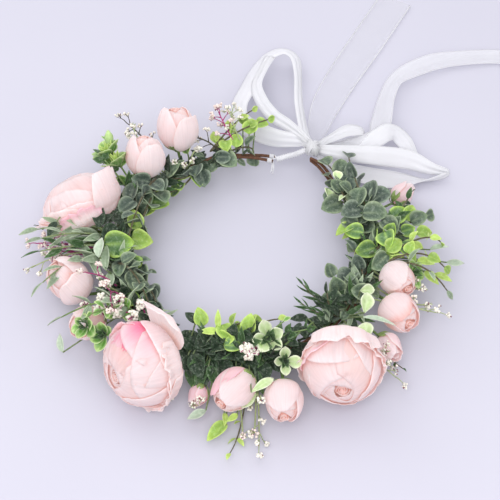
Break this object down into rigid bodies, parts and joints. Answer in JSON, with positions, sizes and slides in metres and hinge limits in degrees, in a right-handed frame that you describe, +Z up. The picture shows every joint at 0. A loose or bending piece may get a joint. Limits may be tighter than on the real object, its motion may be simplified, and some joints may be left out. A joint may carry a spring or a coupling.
{
  "type": "flower crown",
  "caption": "Flower crown for the hair: twisted wire ring, open at the back, carrying artificial roses, rosebuds and greenery, tied with a satin ribbon bow.",
  "frame": {"origin": "where the flat of the brow's tape sleeve rests on the forehead", "axes": "+Z up as the crown lies on a table with its flowers up, +Y from the brow through the head to the open back and the bow, +X towards the half that carries the bow"},
  "size_m": [0.3055, 0.4538, 0.0631],
  "materials": {
    "wire": "matte, twisted kraft-paper wrap over iron wire",
    "tape": "matte, crinkled floral tape",
    "petal": "matte woven petal cloth, blush edges with a pinker body",
    "inner_petal": "matte woven petal cloth, peach pink",
    "calyx": "satin moulded plastic",
    "eucalyptus": "matte, dusty grey-green bloom with lighter rims",
    "bright_leaf": "matte, yellow-green",
    "boxwood": "satin, green leaves with cream rims",
    "willow": "matte, grey-green",
    "blossom": "matte, cream buds on magenta stems",
    "satin": "white satin with a soft sheen"
  },
  "bodies": {
    "right_half": {"bow_knot": "satin", "boxwood_front": "boxwood", "bud_front_a_calyx": "calyx", "bud_front_a_petals": "petal", "bud_front_b_calyx": "calyx", "bud_front_b_petals": "petal", "bud_right_a_calyx": "calyx", "bud_right_a_petals": "petal", "bud_right_b_calyx": "calyx", "bud_right_b_petals": "petal", "bud_right_c": "petal", "bud_small_back": "petal", "bud_small_front": "petal", "elastic_cord": "satin", "eucalyptus_front": "bright_leaf", "eucalyptus_right_back": "eucalyptus", "eucalyptus_right_inner": "eucalyptus", "eucalyptus_right_outer": "eucalyptus", "eucalyptus_right_tip": "bright_leaf", "rose_front_right_calyx": "calyx", "rose_front_right_inner_petals": "inner_petal", "rose_front_right_outer_petals": "petal", "spray_front": "blossom", "spray_right": "blossom", "tape_brow": "tape", "tape_right": "tape", "wire_right_a": "wire", "wire_right_b": "wire"},
    "bow_left": {"bow_loop_left": "satin"},
    "bow_right": {"bow_loop_right": "satin"},
    "left_half": {"boxwood_left_back": "boxwood", "boxwood_left_front": "boxwood", "bud_left_back_a_calyx": "calyx", "bud_left_back_a_petals": "petal", "bud_left_back_b_calyx": "calyx", "bud_left_back_b_petals": "petal", "bud_left_front_a_calyx": "calyx", "bud_left_front_a_petals": "petal", "bud_left_front_b_calyx": "calyx", "bud_left_front_b_petals": "petal", "eucalyptus_left_back": "eucalyptus", "eucalyptus_left_end": "bright_leaf", "eucalyptus_left_lower": "eucalyptus", "eucalyptus_left_mid": "bright_leaf", "rose_front_left_calyx": "calyx", "rose_front_left_inner_petals": "inner_petal", "rose_front_left_outer_petals": "petal", "rose_left_calyx": "calyx", "rose_left_inner_petals": "inner_petal", "rose_left_outer_petals": "petal", "spray_left_back": "blossom", "spray_left_front": "blossom", "spray_left_low": "blossom", "spray_left_outer": "blossom", "tape_left": "tape", "willow_left": "willow", "wire_left_a": "wire", "wire_left_b": "wire"},
    "tails": {"ribbon_tail_left": "satin", "ribbon_tail_right": "satin"}
  },
  "joints": [
    {"name": "frame_flex", "type": "hinge", "parent": "right_half", "child": "left_half", "pos_m": [-0.00614, -0.0043, 0], "axis": [0, 0, 1], "range_deg": [-2, 4], "deforming": ["elastic_cord"]},
    {"name": "bow_left_hinge", "type": "hinge", "parent": "right_half", "child": "bow_left", "pos_m": [0.013, 0.18749, 0.005], "axis": [0.8829, 0.4695, 0], "range_deg": [-10, 45]},
    {"name": "bow_right_hinge", "type": "hinge", "parent": "right_half", "child": "bow_right", "pos_m": [0.013, 0.18749, 0.005], "axis": [0.2588, -0.9659, 0], "range_deg": [-10, 45]},
    {"name": "tails_hinge", "type": "hinge", "parent": "right_half", "child": "tails", "pos_m": [0.013, 0.18749, 0.005], "axis": [1, 0, 0], "range_deg": [-70, 30]}
  ]
}
